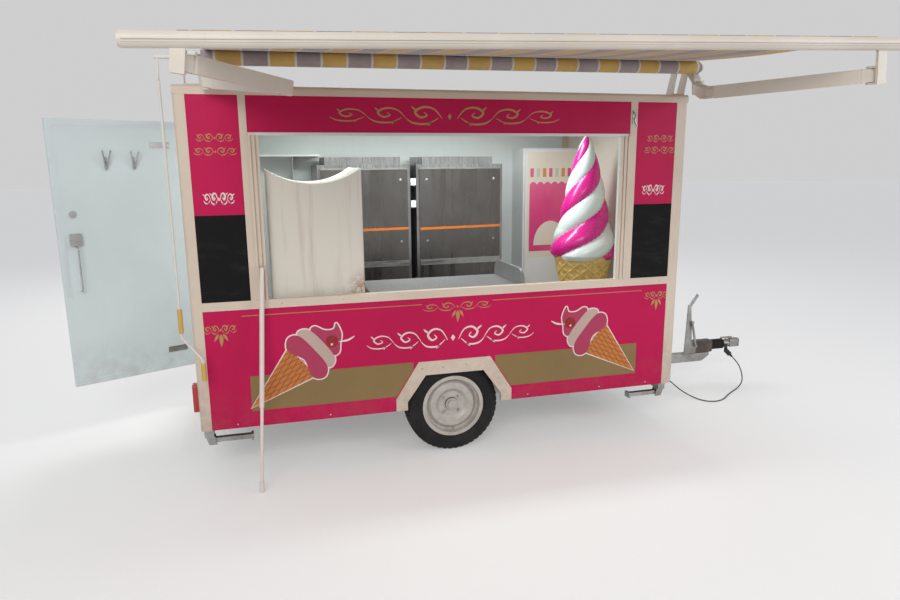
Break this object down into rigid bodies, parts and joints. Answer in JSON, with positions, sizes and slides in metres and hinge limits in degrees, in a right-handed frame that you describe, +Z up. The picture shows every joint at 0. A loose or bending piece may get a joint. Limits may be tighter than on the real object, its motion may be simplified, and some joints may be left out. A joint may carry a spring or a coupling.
{
  "type": "food trailer",
  "caption": "Closed single-axle food trailer with a serving window, folding-arm awning, open rear door, central drawbar and jockey wheel, fitted out for soft ice cream.",
  "frame": {"origin": "centre of the bounding box at ground level", "axes": "+X ahead to the coupling, +Y away from the serving side, +Z up"},
  "size_m": [5.0555, 3.0808, 2.3753],
  "materials": {
    "cream_paint": "satin",
    "cream_skin": "satin",
    "pale_skin": "satin",
    "floor_sheet": "matt",
    "pink_sheet": "gloss",
    "chalkboard_black": "matt",
    "zinc_sheet": "satin",
    "zinc_steel": "satin",
    "tyre_rubber": "matt",
    "rim_steel": "satin",
    "black_iron": "satin",
    "bellows_rubber": "matt",
    "coupling_steel": "satin",
    "jockey_rubber": "matt",
    "lamp_red": "gloss",
    "door_skin": "satin",
    "fitting_steel": "satin",
    "awning_white": "satin",
    "awning_cloth_pale": "matt",
    "crank_enamel": "satin",
    "pole_white": "satin",
    "counter_laminate": "satin",
    "counter_board": "matt",
    "machine_enamel": "gloss",
    "stainless_steel": "satin",
    "cabinet_white": "satin",
    "cone_plastic": "satin",
    "lead_black": "matt",
    "plug_black": "matt"
  },
  "bodies": {
    "trailer_body": {"awning_cloth": "awning_cloth_pale", "awning_crank": "crank_enamel", "awning_frame": "awning_white", "awning_roll": "awning_cloth_pale", "axle": "zinc_steel", "bellows": "bellows_rubber", "chalkboards": "chalkboard_black", "chassis": "zinc_steel", "counter_stand": "counter_board", "counter_top": "counter_laminate", "coupling_head": "coupling_steel", "display_cone": "cone_plastic", "drawbar": "zinc_steel", "floor": "floor_sheet", "hinge_plates": "zinc_sheet", "ice_cream_machine": "machine_enamel", "jockey_clamp": "zinc_steel", "lead_cable": "lead_black", "lead_plug": "plug_black", "lower_panels": "pink_sheet", "overrun_housing": "black_iron", "parking_brake": "zinc_steel", "posts": "cream_paint", "rear_lamps": "lamp_red", "roof": "cream_skin", "roof_rails": "cream_paint", "shutter_guides": "cream_paint", "side_trims": "cream_paint", "steel_cabinets": "stainless_steel", "tall_cabinet": "cabinet_white", "upper_panels": "pink_sheet", "wall_far": "pale_skin", "wall_front": "cream_skin", "wall_rear": "cream_skin", "wall_serving": "pale_skin", "wall_shelf": "cabinet_white", "wheel_tubs": "zinc_sheet"},
    "wheel_near": {"tyre_near": "tyre_rubber", "rim_near": "rim_steel"},
    "wheel_far": {"tyre_far": "tyre_rubber", "rim_far": "rim_steel"},
    "door": {"door_leaf": "door_skin", "door_hinges": "zinc_sheet", "door_fittings": "fitting_steel"},
    "jockey_tube": {"jockey_leg": "zinc_steel"},
    "jockey_caster": {"jockey_fork": "zinc_steel"},
    "jockey_roller": {"jockey_wheel": "jockey_rubber"},
    "steady_rear_near": {"steady_rear_near": "zinc_steel"},
    "steady_rear_far": {"steady_rear_far": "zinc_steel"},
    "steady_front_near": {"steady_front_near": "zinc_steel"},
    "steady_front_far": {"steady_front_far": "zinc_steel"},
    "awning_upper_rear": {"upper_arm_rear": "awning_white"},
    "awning_fore_rear": {"forearm_rear": "awning_white"},
    "awning_bar": {"front_bar": "awning_white"},
    "awning_upper_front": {"upper_arm_front": "awning_white"},
    "awning_fore_front": {"forearm_front": "awning_white"},
    "pole": {"pole_tube": "pole_white"},
    "pole_foot": {"pole_leg": "pole_white"}
  },
  "joints": [
    {"name": "wheel_near_spin", "type": "hinge", "parent": "trailer_body", "child": "wheel_near", "pos_m": [-0.19669, -0.03534, 0.2915], "axis": [0, 1, 0], "continuous": true},
    {"name": "wheel_far_spin", "type": "hinge", "parent": "trailer_body", "child": "wheel_far", "pos_m": [-0.19669, 1.41466, 0.2915], "axis": [0, 1, 0], "continuous": true},
    {"name": "door_hinge", "type": "hinge", "parent": "trailer_body", "child": "door", "pos_m": [-1.69769, 1.15166, 1.2], "axis": [0, 0, -1], "range_deg": [-64.5, 55.5]},
    {"name": "jockey_slide", "type": "slide", "parent": "trailer_body", "child": "jockey_tube", "axis": [0, 0, 1], "range_m": [0, 0.05]},
    {"name": "jockey_swivel", "type": "hinge", "parent": "jockey_tube", "child": "jockey_caster", "pos_m": [1.75231, 0.79466, 0.176], "axis": [0, 0, 1], "continuous": true},
    {"name": "jockey_spin", "type": "hinge", "parent": "jockey_caster", "child": "jockey_roller", "pos_m": [1.72231, 0.79466, 0.08], "axis": [0, 1, 0], "continuous": true},
    {"name": "steady_rear_near_fold", "type": "hinge", "parent": "trailer_body", "child": "steady_rear_near", "pos_m": [-1.62269, -0.06934, 0.225], "axis": [0, 1, 0], "range_deg": [0, 90]},
    {"name": "steady_rear_far_fold", "type": "hinge", "parent": "trailer_body", "child": "steady_rear_far", "pos_m": [-1.62269, 1.44866, 0.225], "axis": [0, 1, 0], "range_deg": [0, 90]},
    {"name": "steady_front_near_fold", "type": "hinge", "parent": "trailer_body", "child": "steady_front_near", "pos_m": [1.26731, -0.06934, 0.225], "axis": [0, -1, 0], "range_deg": [0, 90]},
    {"name": "steady_front_far_fold", "type": "hinge", "parent": "trailer_body", "child": "steady_front_far", "pos_m": [1.26731, 1.44866, 0.225], "axis": [0, -1, 0], "range_deg": [0, 90]},
    {"name": "awning_fold", "type": "hinge", "parent": "trailer_body", "child": "awning_upper_rear", "pos_m": [-1.50136, -0.23799, 2.18567], "axis": [0.1288, -0.0601, 0.9898], "range_deg": [0, 52]},
    {"name": "awning_elbow_rear", "type": "hinge", "parent": "awning_upper_rear", "child": "awning_fore_rear", "pos_m": [-1.12822, -0.84778, 2.10008], "axis": [0.1288, -0.0601, 0.9898], "range_deg": [-104, 0]},
    {"name": "awning_hand_rear", "type": "hinge", "parent": "awning_fore_rear", "child": "awning_bar", "pos_m": [-1.50058, -1.46392, 2.11112], "axis": [0.1288, -0.0601, 0.9898], "range_deg": [0, 52]},
    {"name": "awning_shoulder_front", "type": "hinge", "parent": "trailer_body", "child": "awning_upper_front", "pos_m": [1.34348, -0.23799, 2.21546], "axis": [-0.1495, -0.0601, 0.9869], "range_deg": [-52, 0]},
    {"name": "awning_elbow_front", "type": "hinge", "parent": "awning_upper_front", "child": "awning_fore_front", "pos_m": [0.97221, -0.84778, 2.12208], "axis": [-0.1495, -0.0601, 0.9869], "range_deg": [0, 104]},
    {"name": "pole_swing", "type": "hinge", "parent": "trailer_body", "child": "pole", "pos_m": [-1.29269, -0.19034, 1.223], "axis": [-1, 0, 0], "range_deg": [0, 70]},
    {"name": "pole_slide", "type": "slide", "parent": "pole", "child": "pole_foot", "axis": [0.0608, 0.137, 0.9887], "range_m": [0, 0.3]}
  ],
  "couplings": [
    {"joint": "awning_elbow_rear", "follows": "awning_fold", "ratio": -2},
    {"joint": "awning_hand_rear", "follows": "awning_fold", "ratio": 1},
    {"joint": "awning_shoulder_front", "follows": "awning_fold", "ratio": -1},
    {"joint": "awning_elbow_front", "follows": "awning_fold", "ratio": 2}
  ]
}
